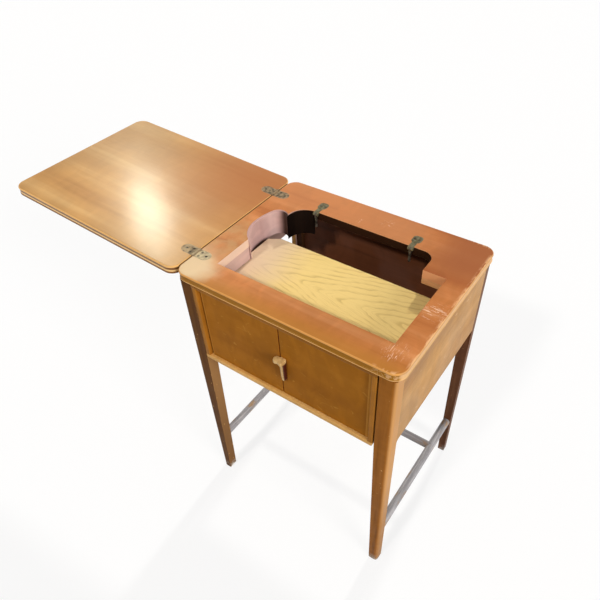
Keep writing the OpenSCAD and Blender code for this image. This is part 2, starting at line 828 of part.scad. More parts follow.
// Door of width w to the right of its pivot, its hinge edge half round about the pivot
module door_leaf(w) {
    hole_l = 11;
    difference() {
        translate([0, 0, door_z]) linear_extrude(door_h) union() {
            circle(door_t / 2);
            translate([0, -door_t / 2]) square([w - door_round_r, door_t]);
            translate([0, -door_t / 2 + door_round_r]) square([w, door_t - 2 * door_round_r]);
            for (y = [-door_t / 2 + door_round_r, door_t / 2 - door_round_r])
                translate([w - door_round_r, y]) circle(door_round_r);
        }
        for (z = [door_z - over, door_z + door_h - hole_l])
            translate([0, 0, z]) cylinder(h = hole_l + over, r = door_pin_r + running);
    }
}

module door_left() {
    color([0.6, 0.39, 0.15]) translate([door_axis_l, door_axis_y, 0])
        door_leaf(meeting_x - meeting_gap / 2 - door_axis_l);
}

module door_right() {
    color([0.6, 0.39, 0.15]) translate([door_axis_r, door_axis_y, 0]) mirror([1, 0, 0])
        door_leaf(door_axis_r - meeting_x - meeting_gap / 2);
}

// Plan of the pull's head, from the free edge of the right door: a flank that spreads
// towards the front and a round front corner that it touches
module pull_plan() {
    corner = 4;
    c = [pull_w - corner, corner - pull_d];
    to_back = [pull_back_w, 0] - c;
    turn = atan2(to_back[1], to_back[0]) - acos(corner / norm(to_back));
    translate(c) circle(corner);
    polygon([[0, 0], [pull_back_w, 0], c + corner * [cos(turn), sin(turn)], c,
        [c[0], -pull_d], [0, -pull_d]]);
}

// Pull: a broad head over a grip that runs out towards its foot
module door_pull() {
    head_h = 6;
    grip_h = pull_h - head_h;
    grip_d = pull_d - 5;
    color([0.8, 0.65, 0.45])
        translate([meeting_x + meeting_gap / 2, door_face, rail_z - pull_drop - pull_h]) {
        translate([0, 0, grip_h]) linear_extrude(head_h) pull_plan();
        intersection() {
            linear_extrude(grip_h) pull_plan();
            rotate([90, 0, 90]) linear_extrude(pull_w)
                polygon([[0, 0], [-pull_foot_d, 0], [-grip_d, grip_h], [0, grip_h]]);
            rotate([90, 0, 0]) linear_extrude(pull_d)
                polygon([[0, 0], [pull_back_w, 0], [pull_w, grip_h], [0, grip_h]]);
        }
    }
}

module top_hinge_leaves() {
    color([0.6, 0.55, 0.42]) at_top_hinges() fixed_leaf();
}

module top_hinge_pins() {
    color([0.55, 0.52, 0.45]) at_top_hinges()
        translate([0, hinge_w / 2, pin_rise]) rotate([90, 0, 0])
            cylinder(h = hinge_w, r = lid_pin_r);
}

module top_hinge_screws() {
    color([0.5, 0.47, 0.4]) at_top_hinges() for (p = leaf_screws)
        translate([p[0], p[1], 0]) screw_shape(0);
}

module lid_hinge_leaves() {
    color([0.6, 0.55, 0.42]) at_lid() for (y = hinge_ys) translate([0, y, 0]) moving_leaf();
}

module lid_hinge_screws() {
    color([0.5, 0.47, 0.4]) at_lid() for (y = hinge_ys) for (p = leaf_screws)
        translate([p[0], y + p[1], 0]) screw_shape(0);
}

module head_hinge_plates() {
    color([0.5, 0.48, 0.38]) at_head_hinges() head_plate();
}

module head_hinge_pins() {
    color([0.4, 0.38, 0.34]) at_head_hinges()
        translate([-neck_w / 2, 0, arm_axis_z - cabinet_h]) rotate([0, 90, 0])
            cylinder(h = neck_w, r = head_pin_r);
}

module head_hinge_screws() {
    color([0.42, 0.4, 0.34]) at_head_hinges() for (s = [-1, 1])
        translate([s * plate_w / 4, plate_y - arm_axis_y, 0]) screw_shape(0);
}

module head_hinge_arm(x) {
    color([0.35, 0.33, 0.3]) translate([x, arm_axis_y, arm_axis_z]) head_arm();
}

top_board();
wheel_lining();
motor_lining();
well_wall();
doubler_right();
doubler_rear();
top_battens();
side_panel_left();
side_panel_right();
back_panel();
box_bottom();
box_end_left();
box_end_right();
box_rail();
box_cleats();
shelf_board();
leg_front_left();
leg_front_right();
leg_rear_left();
leg_rear_right();
stretcher_left();
stretcher_right();
stretcher_cross();
door_pivot_pins();
door_left();
door_pull();
door_right();
lid_board();
lid_hinge_leaves();
lid_hinge_screws();
top_hinge_leaves();
top_hinge_pins();
top_hinge_screws();
head_hinge_plates();
head_hinge_pins();
head_hinge_screws();
head_hinge_arm(head_xs[0]);  // head_hinge_arm_left
head_hinge_arm(head_xs[1]);  // head_hinge_arm_right
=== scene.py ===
import math

import bpy
from mathutils import Matrix, Vector


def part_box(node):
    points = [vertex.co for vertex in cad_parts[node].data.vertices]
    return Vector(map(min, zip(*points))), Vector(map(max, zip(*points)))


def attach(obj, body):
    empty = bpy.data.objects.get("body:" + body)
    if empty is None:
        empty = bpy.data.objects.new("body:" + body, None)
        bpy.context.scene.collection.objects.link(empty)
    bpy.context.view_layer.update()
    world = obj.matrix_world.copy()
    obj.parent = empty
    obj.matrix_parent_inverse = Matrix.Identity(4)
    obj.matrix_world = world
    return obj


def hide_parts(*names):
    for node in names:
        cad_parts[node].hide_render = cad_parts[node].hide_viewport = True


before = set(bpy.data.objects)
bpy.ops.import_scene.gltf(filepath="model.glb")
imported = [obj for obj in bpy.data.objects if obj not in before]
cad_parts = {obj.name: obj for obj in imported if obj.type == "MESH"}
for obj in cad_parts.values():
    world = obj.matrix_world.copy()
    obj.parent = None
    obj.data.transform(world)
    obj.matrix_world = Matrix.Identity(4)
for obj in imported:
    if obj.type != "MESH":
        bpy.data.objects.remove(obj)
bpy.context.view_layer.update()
bpy.ops.object.select_all(action="DESELECT")

# ---------------------------------------------------------------- view
# The cabinet is seen from the front right and from above, its lid lying open to the left.
# Place, turn and lens of the view were solved from straight edges in the photograph.
scene = bpy.context.scene
scene.view_settings.view_transform = "Standard"
turn, tilt, roll = math.radians(36.768), math.radians(44.462), math.radians(-2.673)
back = Vector((math.sin(turn) * math.cos(tilt), -math.cos(turn) * math.cos(tilt), math.sin(tilt)))
level = Vector((math.cos(turn), math.sin(turn), 0))
upward = back.cross(level)
right = math.cos(roll) * level + math.sin(roll) * upward
up = math.cos(roll) * upward - math.sin(roll) * level
camera = bpy.data.objects.new("camera", bpy.data.cameras.new("camera"))
camera.data.lens = 33.96
camera.data.shift_x = -0.01497
camera.data.shift_y = 0.03647
camera.data.clip_start = 0.02
stand = (0.7928, -0.8030, 1.5142)
camera.matrix_world = Matrix.Translation(stand) @ Matrix((right, up, back)).transposed().to_4x4()
scene.collection.objects.link(camera)
scene.camera = camera


# ---------------------------------------------------------------- light and floor
# A main light from the front and above, a broad one from the right and window light from
# behind. A lamp behind on the left only shows as the shine on the lid. The floor is pale
# paper under a white surround.
def light(name, kind, place, power, colour, **settings):
    """A lamp at a place, which shines towards the middle of the cabinet."""
    lamp = bpy.data.lights.new(name, kind)
    lamp.energy = power
    lamp.color = colour
    for key, value in settings.items():
        setattr(lamp, key, value)
    shining = bpy.data.objects.new(name, lamp)
    shining.location = place
    backwards = Vector(place) - Vector((0.1, 0.0, 0.7))
    shining.rotation_euler = backwards.to_track_quat("Z", "Y").to_euler()
    shining.visible_glossy = kind == "AREA"
    shining.visible_diffuse = kind == "SUN"
    scene.collection.objects.link(shining)


light("front_light", "SUN", (-0.16, -2.1, 2.8), 1.2, (1.0, 0.97, 0.92), angle=math.radians(5))
light("right_light", "SUN", (2.6, -0.75, 1.75), 2.2, (1.0, 0.96, 0.92), angle=math.radians(28))
light("window", "SUN", (-0.09, 2.6, 2.88), 1.4, (1.0, 0.98, 0.94), angle=math.radians(3.5))
light("rear_lamp", "AREA", (-1.55, 0.98, 2.12), 11.5, (0.95, 1.0, 0.84), shape="ELLIPSE", size=0.22,
      size_y=0.46)


def add(tree, kind, feeds=None, **settings):
    """One more node, with its settings and with what feeds its sockets."""
    node = tree.nodes.new("ShaderNode" + kind)
    for key, value in settings.items():
        setattr(node, key, value)
    for socket, feed in (feeds or {}).items():
        if isinstance(feed, bpy.types.NodeSocket):
            tree.links.new(feed, node.inputs[socket])
        else:
            node.inputs[socket].default_value = feed
    return node


def number(tree, operation, *feeds):
    """A sum on one or more numbers."""
    return add(tree, "Math", dict(enumerate(feeds)), operation=operation).outputs[0]


def step(tree, value, low, high, start=0.0, end=1.0):
    """A smooth rise from start to end as the value goes from low to high."""
    feeds = {"Value": value, "From Min": low, "From Max": high, "To Min": start, "To Max": end}
    return add(tree, "MapRange", feeds, interpolation_type="SMOOTHSTEP").outputs[0]


def bare_view(tree):
    """1 where the surround is seen itself, in gloss or through glass, and 0 where it lights."""
    path = add(tree, "LightPath").outputs
    return number(tree, "MAXIMUM", path["Is Camera Ray"],
                  number(tree, "MAXIMUM", path["Is Glossy Ray"], path["Is Transmission Ray"]))


world = bpy.data.worlds.new("surround")
scene.world = world
world.use_nodes = True
tree = world.node_tree
height = add(tree, "SeparateXYZ", {0: add(tree, "TexCoord").outputs["Generated"]}).outputs[2]
bare = bare_view(tree)
seen = number(tree, "MULTIPLY", bare, step(tree, height, 0.1, 0.6, 1.0, 0.35))
surround_light = 0.28
unseen = number(tree, "MULTIPLY", surround_light, number(tree, "SUBTRACT", 1.0, bare))
backdrop = tree.nodes["Background"]
backdrop.inputs["Color"].default_value = (1, 1, 1, 1)
tree.links.new(number(tree, "ADD", seen, unseen), backdrop.inputs["Strength"])

floor_z = -0.0005
bpy.ops.mesh.primitive_circle_add(vertices=96, radius=14, fill_type="NGON",
                                  location=(0.0, 0.0, floor_z))
floor = bpy.context.object
floor.name = "floor"
paper = bpy.data.materials.new("paper")
paper.use_nodes = True
tree = paper.node_tree
shader = tree.nodes["Principled BSDF"]
shader.inputs["Roughness"].default_value = 0.9
shader.inputs["Specular IOR Level"].default_value = 0.0
shader.inputs["Emission Color"].default_value = (1, 1, 1, 1)
bare = bare_view(tree)
glow, paper_grey, seen_darker = 0.79, 0.30, 0.11
tree.links.new(number(tree, "MULTIPLY", bare, glow), shader.inputs["Emission Strength"])
grey = number(tree, "SUBTRACT", paper_grey, number(tree, "MULTIPLY", bare, seen_darker))
tree.links.new(add(tree, "CombineColor", {0: grey, 1: grey, 2: grey}).outputs[0],
               shader.inputs["Base Color"])
floor.data.materials.append(paper)
bpy.ops.object.select_all(action="DESELECT")


# ---------------------------------------------------------------- legs
# Solid tapered legs in brown stain under a satin lacquer, the rear pair dark. The golden
# right sides of the front pair are painted light, the left pair is painted darker as shade,
# most on its front faces, and all are darker towards the bottom. The lacquer is rubbed off
# along the arrises, the feet are scuffed, and the left front one shows a pale chip.
def tint(red, green, blue):
    """A colour as on a colour card, 0 to 255, as the linear values of a socket."""
    shares = [v / 255 for v in (red, green, blue)]
    return tuple(v / 12.92 if v <= 0.04045 else ((v + 0.055) / 1.055) ** 2.4 for v in shares) + (1,)


def arrow(tree, operation, *feeds, outlet=0):
    """A sum on one or more vectors."""
    return add(tree, "VectorMath", dict(enumerate(feeds)), operation=operation).outputs[outlet]


def blend(tree, share, first, second, kind="MIX"):
    """Two colours put together."""
    return add(tree, "Mix", {0: share, 6: first, 7: second}, data_type="RGBA", blend_type=kind,
               clamp_result=True).outputs[2]


def cloud(tree, place, scale, detail=2.0, rough=0.5, distort=0.0):
    """Soft irregular patches."""
    feeds = {"Vector": place, "Scale": scale, "Detail": detail, "Roughness": rough,
             "Distortion": distort}
    return add(tree, "TexNoise", feeds).outputs["Fac"]


def axis(tree, place, which):
    """One of a place's three numbers."""
    return add(tree, "SeparateXYZ", {0: place}).outputs[which]


def new_finish(name):
    """A new finish: its material, its tree, its shader and each point's place in metres."""
    finish = bpy.data.materials.new(name)
    finish.use_nodes = True
    tree = finish.node_tree
    return finish, tree, tree.nodes["Principled BSDF"], add(tree, "TexCoord").outputs["Object"]


def stretched(tree, place, along, share):
    """Places squeezed along the grain, so that a pattern on them runs that way."""
    squeeze = [1.0, 1.0, 1.0]
    squeeze[along] = share
    return arrow(tree, "MULTIPLY", place, tuple(squeeze))


def strayed(tree, place, noise, reach):
    """Places moved about by a soft noise, half the reach either way."""
    drift = arrow(tree, "SUBTRACT", add(tree, "TexNoise", {"Vector": place} | noise)
                  .outputs["Color"], (0.5, 0.5, 0.5))
    return arrow(tree, "ADD", place, arrow(tree, "MULTIPLY", drift, reach))


def scaled(tree, colour, shade):
    """A colour made darker or paler all through."""
    return add(tree, "VectorMath", {0: colour, "Scale": shade}, operation="SCALE").outputs[0]


def wood(tree, place, along, colours, width=0.03, pore=0.14, mottle=0.06, patch=0.06):
    """A wood's colour from its dark, middle and pale tints, and where its pores are."""
    bent = strayed(tree, place, {"Scale": 3.2, "Detail": 1.0}, (0.012, 0.012, 0.012))
    bands = cloud(tree, stretched(tree, bent, along, 0.07), 1 / width, 3.0, 0.55)
    dark, middle, pale = colours
    colour = blend(tree, step(tree, bands, 0.26, 0.5), dark, middle)
    colour = blend(tree, step(tree, bands, 0.5, 0.76), colour, pale)
    pores = step(tree, cloud(tree, stretched(tree, bent, along, 0.02), 900.0, 2.0, 0.6), 0.5, 0.72)
    colour = blend(tree, number(tree, "MULTIPLY", pores, pore), colour, dark, "MULTIPLY")
    flames = cloud(tree, stretched(tree, place, along, 2.0), 17.0, 2.0, 0.5, 0.8)
    shade = number(tree, "MULTIPLY", step(tree, flames, 0.35, 0.65, 1.0 - mottle, 1.0 + mottle),
                   step(tree, cloud(tree, place, 4.5, 1.0), 0.35, 0.65, 1.0 - patch, 1.0 + patch))
    return scaled(tree, colour, shade), pores


def rubbed(tree, place, reach, amount):
    """Where the arrises are rubbed through the lacquer, 0 to 1."""
    rounded = add(tree, "Bevel", {"Radius": reach}, samples=4).outputs[0]
    flat = add(tree, "NewGeometry").outputs["True Normal"]
    bend = number(tree, "SUBTRACT", 1.0, arrow(tree, "DOT_PRODUCT", rounded, flat, outlet=1))
    patchy = cloud(tree, place, 38.0, 3.0, 0.65)
    return number(tree, "MULTIPLY", step(tree, bend, 0.03, 0.22),
                  step(tree, patchy, 0.62 - amount * 0.4, 0.72 - amount * 0.3))


def lacquer(tree, shader, place, colour, pores, rough=0.42, gloss=0.3, uneven=0.05):
    """Colour, roughness and pores under a satin lacquer, with slightly eased arrises."""
    tree.links.new(colour, shader.inputs["Base Color"])
    smears = cloud(tree, place, 14.0, 3.0, 0.55)
    tree.links.new(number(tree, "ADD", number(tree, "MULTIPLY", pores, 0.08),
                          step(tree, smears, 0.3, 0.7, rough - uneven, rough + uneven)),
                   shader.inputs["Roughness"])
    shader.inputs["Specular IOR Level"].default_value = gloss
    eased = add(tree, "Bevel", {"Radius": 0.0011}, samples=4).outputs[0]
    relief = add(tree, "Bump", {"Height": pores, "Distance": 0.0001, "Strength": 0.3,
                                "Normal": eased}, invert=True)
    tree.links.new(relief.outputs[0], shader.inputs["Normal"])


def dress(finish, *names):
    """Gives CAD nodes their material."""
    for name in names:
        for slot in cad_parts[name].material_slots:
            slot.material = finish


def facing(tree, which):
    """How squarely a face of the piece looks along one axis, from -1 to 1."""
    return axis(tree, add(tree, "TexCoord").outputs["Normal"], which)


def leg_finish(name, colours, edge, scuff, lit_side_colour):
    """Stained and lacquered leg wood with painted light and shade, its foot scuffed, with a few
    pale chips.
    """
    finish, tree, shader, place = new_finish(name)
    across, height, outwards = axis(tree, place, 0), axis(tree, place, 2), facing(tree, 0)
    colour, pores = wood(tree, place, 2, colours, 0.014, mottle=0.05)
    # Painted light: the right-facing sides are made paler, as the light from the right falls on
    # them.
    painted_lit_side = number(tree, "MULTIPLY", step(tree, outwards, 0.3, 0.95),
                    step(tree, height, 0.0, 0.45, 0.45, 1.0))
    colour = blend(tree, painted_lit_side, colour, lit_side_colour)
    # Painted shade: the left pair of legs is darkened, front faces most, as less light reaches
    # them.
    left_pair_shade = step(tree, across, 0.15, 0.05, 1.0, step(tree, outwards, 0.2, 0.9, 0.34, 0.52))
    downwards = step(tree, height, 0.50, 0.10, 1.0, 0.82)
    colour = scaled(tree, colour, number(tree, "MULTIPLY", left_pair_shade, downwards))
    worn = number(tree, "MULTIPLY", rubbed(tree, place, 0.0018, 0.4), 0.5)
    colour = blend(tree, worn, colour, edge)
    scuffed = number(tree, "MULTIPLY", step(tree, height, 0.035, 0.0),
                     step(tree, cloud(tree, place, 90.0, 3.0, 0.6), 0.42, 0.56))
    colour = blend(tree, scuffed, colour, scuff)
    chips = step(tree, cloud(tree, place, 130.0, 1.0, 0.4), 0.745, 0.765)
    colour = blend(tree, chips, colour, edge)
    front_left_foot = (0.0320, -0.2040, 0.0)
    off_chip = arrow(tree, "DISTANCE", place, front_left_foot, outlet=1)
    colour = blend(tree, step(tree, off_chip, 0.0110, 0.0070, 0.0, 0.85), colour,
                   tint(226, 218, 208))
    lacquer(tree, shader, place, colour, pores, 0.38, 0.03)
    return finish


dress(leg_finish("front_leg_wood", (tint(132, 80, 26), tint(157, 98, 36), tint(176, 116, 50)),
                 tint(214, 164, 100), tint(170, 158, 144), tint(213, 158, 98)),
      "leg_front_left", "leg_front_right")
dress(leg_finish("rear_leg_wood", (tint(102, 64, 43), tint(122, 80, 55), tint(139, 95, 66)),
                 tint(166, 124, 84), tint(156, 146, 136), tint(118, 78, 50)),
      "leg_rear_left", "leg_rear_right")

# ---------------------------------------------------------------- stretchers
# Turned rails tenoned into the legs and into each other. Their grey paint is thin and
# worn to the wood in patches; the cross rail is the darkest.
for name, along in (("stretcher_left", 1), ("stretcher_right", 1), ("stretcher_cross", 0)):
    finish, tree, shader, place = new_finish(name + "_paint")
    bared, pores = wood(tree, place, along, (tint(140, 110, 82), tint(172, 144, 116),
                                             tint(196, 170, 142)), 0.01)
    worn = step(tree, cloud(tree, stretched(tree, place, along, 0.4), 46.0, 4.0, 0.6), 0.52, 0.66)
    streaks = cloud(tree, stretched(tree, place, along, 0.05), 260.0, 2.0, 0.6)
    paint = blend(tree, step(tree, streaks, 0.4, 0.7), tint(156, 154, 158), tint(192, 190, 192))
    colour = blend(tree, worn, paint, bared)
    if name == "stretcher_cross":
        colour = blend(tree, 0.55, colour, tint(84, 76, 74))
    lacquer(tree, shader, place, colour, pores, 0.5, 0.2)
    dress(finish, name)

# ---------------------------------------------------------------- sides and back
# Veneered plywood panels between the legs, golden birch outside, and a thin back board
# stained dark reddish brown. Inside the left one, where it lines the well, the mauve is
# painted light, glare on its stain, and the back board's paler patches low down are painted light
# too.
def plain_finish(name, colours, along, edge=None, amount=0.4, rough=0.42, gloss=0.3, **more):
    """A wood without any other treatment than its lacquer and rubbed arrises."""
    finish, tree, shader, place = new_finish(name)
    colour, pores = wood(tree, place, along, colours, **more)
    if edge:
        worn = number(tree, "MULTIPLY", rubbed(tree, place, 0.002, amount), 0.7)
        colour = blend(tree, worn, colour, edge)
    lacquer(tree, shader, place, colour, pores, rough, gloss)
    return finish


for name, inwards in (("side_panel_left", 1), ("side_panel_right", -1)):
    finish, tree, shader, place = new_finish(name + "_veneer")
    colour, pores = wood(tree, place, 1, (tint(172, 120, 58), tint(194, 142, 72),
                                          tint(208, 156, 88)), 0.05, mottle=0.05, patch=0.08)
    # Painted light: inside the left panel its mauve is glare on the dark stain; the right one's
    # inside is plain dark stain.
    inside = step(tree, number(tree, "MULTIPLY", facing(tree, 0), inwards), 0.4, 0.6)
    inner_stain_and_glare = tint(186, 152, 142) if inwards > 0 else tint(104, 66, 46)
    colour = blend(tree, inside, colour, inner_stain_and_glare)
    worn = number(tree, "MULTIPLY", rubbed(tree, place, 0.002, 0.4), 0.7)
    colour = blend(tree, worn, colour, tint(226, 182, 130))
    marks = step(tree, cloud(tree, stretched(tree, place, 1, 0.5), 70.0, 2.0, 0.5), 0.70, 0.73)
    colour = blend(tree, number(tree, "MULTIPLY", marks, 0.5), colour, tint(232, 200, 160))
    lacquer(tree, shader, place, colour, pores, 0.38, 0.1)
    dress(finish, name)

finish, tree, shader, place = new_finish("back_stain")
colour, pores = wood(tree, place, 0, (tint(92, 53, 34), tint(115, 68, 44), tint(134, 81, 55)), 0.03)
# Painted light: the back board is paler in patches below its upper part, where light reaches it
# under the top's shadow.
painted_lit_patches = number(tree, "MULTIPLY", step(tree, axis(tree, place, 2), 0.70, 0.60),
               step(tree, cloud(tree, place, 9.0, 2.0), 0.42, 0.6))
colour = blend(tree, number(tree, "MULTIPLY", painted_lit_patches, 0.4), colour, tint(120, 84, 72))
lacquer(tree, shader, place, colour, pores, 0.5, 0.15)
dress(finish, "back_panel")

# ---------------------------------------------------------------- front box
# A box of golden brown boards, hung from cleats between the side panels. Its front edges
# are rounded and rubbed pale, the bottom's most of all, and a darker rail closes its top.
dress(plain_finish("box_wood", (tint(180, 128, 58), tint(210, 160, 90), tint(224, 180, 114)), 0,
                   tint(240, 190, 116), 0.8, gloss=0.15), "box_bottom")
dress(plain_finish("box_rail_wood", (tint(124, 76, 18), tint(142, 90, 24), tint(158, 104, 32)), 0,
                   tint(170, 116, 44), gloss=0.1), "box_rail")
dress(plain_finish("box_end_wood", (tint(137, 87, 24), tint(166, 108, 34), tint(189, 130, 47)), 2,
                   tint(214, 160, 92), 0.55, gloss=0.08), "box_end_left", "box_end_right")
dress(plain_finish("batten_wood", (tint(130, 88, 52), tint(156, 110, 68), tint(176, 130, 84)), 1,
                   rough=0.6, gloss=0.15), "top_battens", "box_cleats")

# ---------------------------------------------------------------- doors
# Two plywood doors on hidden steel pivots, veneered in flecked golden brown wood. The cut
# edges at their meeting line are stained dark red and the arrises rubbed pale; a golden
# line along the pivot edges is a painted highlight.
finish, tree, shader, place = new_finish("door_veneer")
colour, pores = wood(tree, place, 0, (tint(146, 90, 24), tint(161, 102, 30), tint(176, 116, 40)),
                     0.10, 0.1, 0.07, 0.03)
flecks = step(tree, cloud(tree, stretched(tree, place, 2, 1.8), 42.0, 2.0, 0.5, 1.2), 0.655, 0.72)
colour = blend(tree, number(tree, "MULTIPLY", flecks, 0.35), colour, tint(204, 148, 66))
doors_middle, doors_half = 0.272, 0.2125
off_middle = number(tree, "SUBTRACT", axis(tree, place, 0), doors_middle)
hinge_edge = number(tree, "SUBTRACT", doors_half, number(tree, "ABSOLUTE", off_middle))
# Painted highlight: a golden line along each door's pivot edge, where its rounded arris catches the
# light.
colour = blend(tree, number(tree, "MULTIPLY", step(tree, hinge_edge, 0.0065, 0.0045), 0.45), colour,
               tint(220, 158, 76))
cut = number(tree, "MULTIPLY", step(tree, number(tree, "ABSOLUTE", facing(tree, 0)), 0.7, 0.9),
             step(tree, hinge_edge, 0.1, 0.15))
colour = blend(tree, cut, colour, tint(104, 30, 16))
worn = number(tree, "MULTIPLY", rubbed(tree, place, 0.0016, 0.4), 0.5)
colour = blend(tree, worn, colour, tint(214, 150, 80))
lacquer(tree, shader, place, colour, pores, 0.4, 0.02)
dress(finish, "door_left", "door_right")
dress(plain_finish("pivot_steel", (tint(70, 66, 60), tint(86, 82, 74), tint(100, 96, 88)), 2),
      "door_pivot_pins")

# ---------------------------------------------------------------- pull
# One small block of pale waxed wood, glued to the right door's free edge. Its head has a
# round lobe at each side and reaches over the left door, its grip tapers downwards, and the
# grip's right flank is painted dark red as shade.
low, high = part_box("door_pull")
left_lobe, right_lobe, head_width, head_height = 0.0104, 0.0018, 0.0165, 0.0080
left_x, right_x = low.x - left_lobe, high.x + right_lobe
front, rear = -0.2205, -0.2075
head_z = high.z - head_height
bpy.ops.mesh.primitive_cube_add(size=1.0, location=((left_x + right_x) / 2, (front + rear) / 2,
                                                    (head_z + high.z) / 2),
                                scale=(right_x - left_x, rear - front, high.z - head_z))
pull = bpy.context.object
pull.name = "pull"


def pick(piece, mode, wanted):
    """Selects the vertices, edges or faces of a piece whose middle the test wants."""
    bpy.ops.object.mode_set(mode="EDIT")
    bpy.ops.mesh.select_mode(type=mode)
    bpy.ops.mesh.select_all(action="DESELECT")
    bpy.ops.object.mode_set(mode="OBJECT")
    mesh, to_world = piece.data, piece.matrix_world
    parts = {"VERT": mesh.vertices, "EDGE": mesh.edges, "FACE": mesh.polygons}[mode]
    for part in parts:
        ends = [part.co] if mode == "VERT" else [mesh.vertices[v].co for v in part.vertices]
        middle = to_world @ (sum(ends, Vector()) / len(ends))
        if wanted(middle, part, ends):
            part.select = True
    bpy.ops.object.mode_set(mode="EDIT")


pick(pull, "EDGE", lambda middle, edge, ends: abs(ends[0].x - ends[1].x) > 0.01)
stations = 10
bpy.ops.mesh.subdivide(number_cuts=stations - 1)
bpy.ops.object.mode_set(mode="OBJECT")
bpy.ops.object.transform_apply(location=True, rotation=True, scale=True)
fronts = (-0.2196, -0.2240, -0.2254, -0.2256, -0.2248, -0.2240, -0.2244, -0.2256, -0.2268, -0.2258,
          -0.2216)
backs = (-0.2150, -0.2106, -0.2094, -0.2090, -0.2090) + (rear,) * 5 + (-0.2096,)
for nth, (front_y, back_y) in enumerate(zip(fronts, backs)):
    x = left_x + (right_x - left_x) * nth / stations
    for side_y, goal_y in ((front, front_y), (rear, back_y)):
        pick(pull, "VERT", lambda middle, vert, ends: abs(middle.x - x) < 1e-4
             and abs(middle.y - side_y) < 1e-4)
        bpy.ops.transform.translate(value=(0, goal_y - side_y, 0))
grip_x = left_x + head_width
pick(pull, "FACE", lambda middle, face, ends: face.normal.z < -0.9 and middle.x > grip_x)
lean, grip_edge = -0.0004, (right_x, rear, 0)
for fall, narrow, shallow in ((0.0020, 0.98, 0.72), (0.0180, 0.96, 0.97), (0.0200, 0.94, 0.94),
                              (0.0140, 0.92, 0.88)):
    bpy.ops.mesh.extrude_region_move(TRANSFORM_OT_translate={"value": (lean, 0, -fall)})
    bpy.ops.transform.resize(value=(narrow, shallow, 1), center_override=grip_edge)
bpy.ops.object.mode_set(mode="OBJECT")
eased = pull.modifiers.new("eased", "BEVEL")
eased.width = 0.0013
eased.segments = 4
eased.angle_limit = math.radians(35)
bpy.ops.object.modifier_apply(modifier=eased.name)
bpy.ops.object.shade_smooth_by_angle(angle=math.radians(40))
finish, tree, shader, place = new_finish("pull_wood")
colour, pores = wood(tree, place, 2, (tint(184, 144, 88), tint(210, 174, 116), tint(224, 192, 136)),
                     0.008)
colour = blend(tree, number(tree, "MULTIPLY", rubbed(tree, place, 0.0016, 0.7), 0.7), colour,
               tint(238, 208, 160))
# Painted shade: the grip's right flank is coloured dark red where the light from the front left
# does not reach it.
shaded_flank = number(tree, "MULTIPLY", step(tree, facing(tree, 0), 0.45, 0.8),
               step(tree, axis(tree, place, 2), high.z - 0.006, high.z - 0.012))
colour = blend(tree, shaded_flank, colour, tint(70, 26, 14))
lacquer(tree, shader, place, colour, pores, 0.45, 0.2)
pull.data.materials.append(finish)
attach(pull, "door_right")
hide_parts("door_pull")
bpy.ops.object.select_all(action="DESELECT")

# ---------------------------------------------------------------- loose shelf
# A board laid in the well on the box's ends, covered with printed foil: pale oak with
# nested pointed figures. Its greyish mauve left end is painted light, glare cast from the lining.
finish, tree, shader, place = new_finish("shelf_print")
bent = strayed(tree, place, {"Vector": stretched(tree, place, 0, 0.5), "Scale": 17.0,
                             "Detail": 3.0, "Roughness": 0.55}, (0.085, 0.028, 0.0))
tips_y, broad_gap, fine_gap = -0.045, 0.052, 0.0145
off = number(tree, "SUBTRACT", axis(tree, bent, 1), tips_y)
rings = axis(tree, bent, 0)
for side, waist, slope in ((1.0, 0.010, 3.4), (-1.0, 0.006, 4.6)):
    reach = number(tree, "MAXIMUM", number(tree, "MULTIPLY", off, side), 0.0)
    curve = number(tree, "SQRT", number(tree, "ADD", number(tree, "MULTIPLY", reach, reach),
                                        waist ** 2))
    rings = number(tree, "SUBTRACT", rings, number(tree, "MULTIPLY", slope,
                                                   number(tree, "SUBTRACT", curve, waist)))
broad = number(tree, "FLOORED_MODULO", number(tree, "DIVIDE", rings, broad_gap), 1.0)
fine = number(tree, "FLOORED_MODULO", number(tree, "DIVIDE", rings, fine_gap), 1.0)
lines = number(tree, "MULTIPLY", step(tree, broad, 0.55, 0.97), step(tree, broad, 1.0, 0.97))
faint = number(tree, "MULTIPLY", step(tree, fine, 0.5, 0.9), step(tree, fine, 1.0, 0.9))
faint = number(tree, "MULTIPLY", faint, step(tree, cloud(tree, place, 16.0), 0.42, 0.6, 0.0, 0.15))
fading = step(tree, cloud(tree, place, 22.0, 2.0), 0.35, 0.62, 0.06, 0.42)
lines = number(tree, "ADD", number(tree, "MULTIPLY", lines, fading), faint)
ticks = step(tree, cloud(tree, stretched(tree, place, 0, 0.04), 620.0, 2.0, 0.6), 0.52, 0.7)
lines = number(tree, "ADD", lines, number(tree, "MULTIPLY", ticks, 0.12))
colour = blend(tree, lines, tint(238, 208, 134), tint(180, 140, 70))
# Painted light: towards its left end the board is greyed to mauve, the glare from the lit lining.
uneven = number(tree, "MULTIPLY", cloud(tree, place, 12.0), 0.06)
painted_haze = step(tree, number(tree, "ADD", axis(tree, place, 0), uneven), 0.245, 0.085)
colour = blend(tree, number(tree, "MULTIPLY", painted_haze, 0.8), colour, tint(214, 188, 168))
lacquer(tree, shader, place, colour, ticks, 0.45, 0.15)
dress(finish, "shelf_board")

# ---------------------------------------------------------------- well linings
# A thin bent lining round the two recesses, a straight wall before it, and a block and a
# doubler glued under the top. The front ones' mauve is painted light, glare on their stain,
# paler to the front, with painted shade where the wheel lining turns away at its rear; the
# motor lining's near black is painted shade, and the rear block is dark.
finish, tree, shader, place = new_finish("lining_painted_light")
# Painted light: the lining's mauve is glare on its dark stain.
colour, pores = wood(tree, place, 2, (tint(188, 152, 148), tint(200, 166, 162),
                                      tint(208, 178, 172)), 0.05, 0.04)
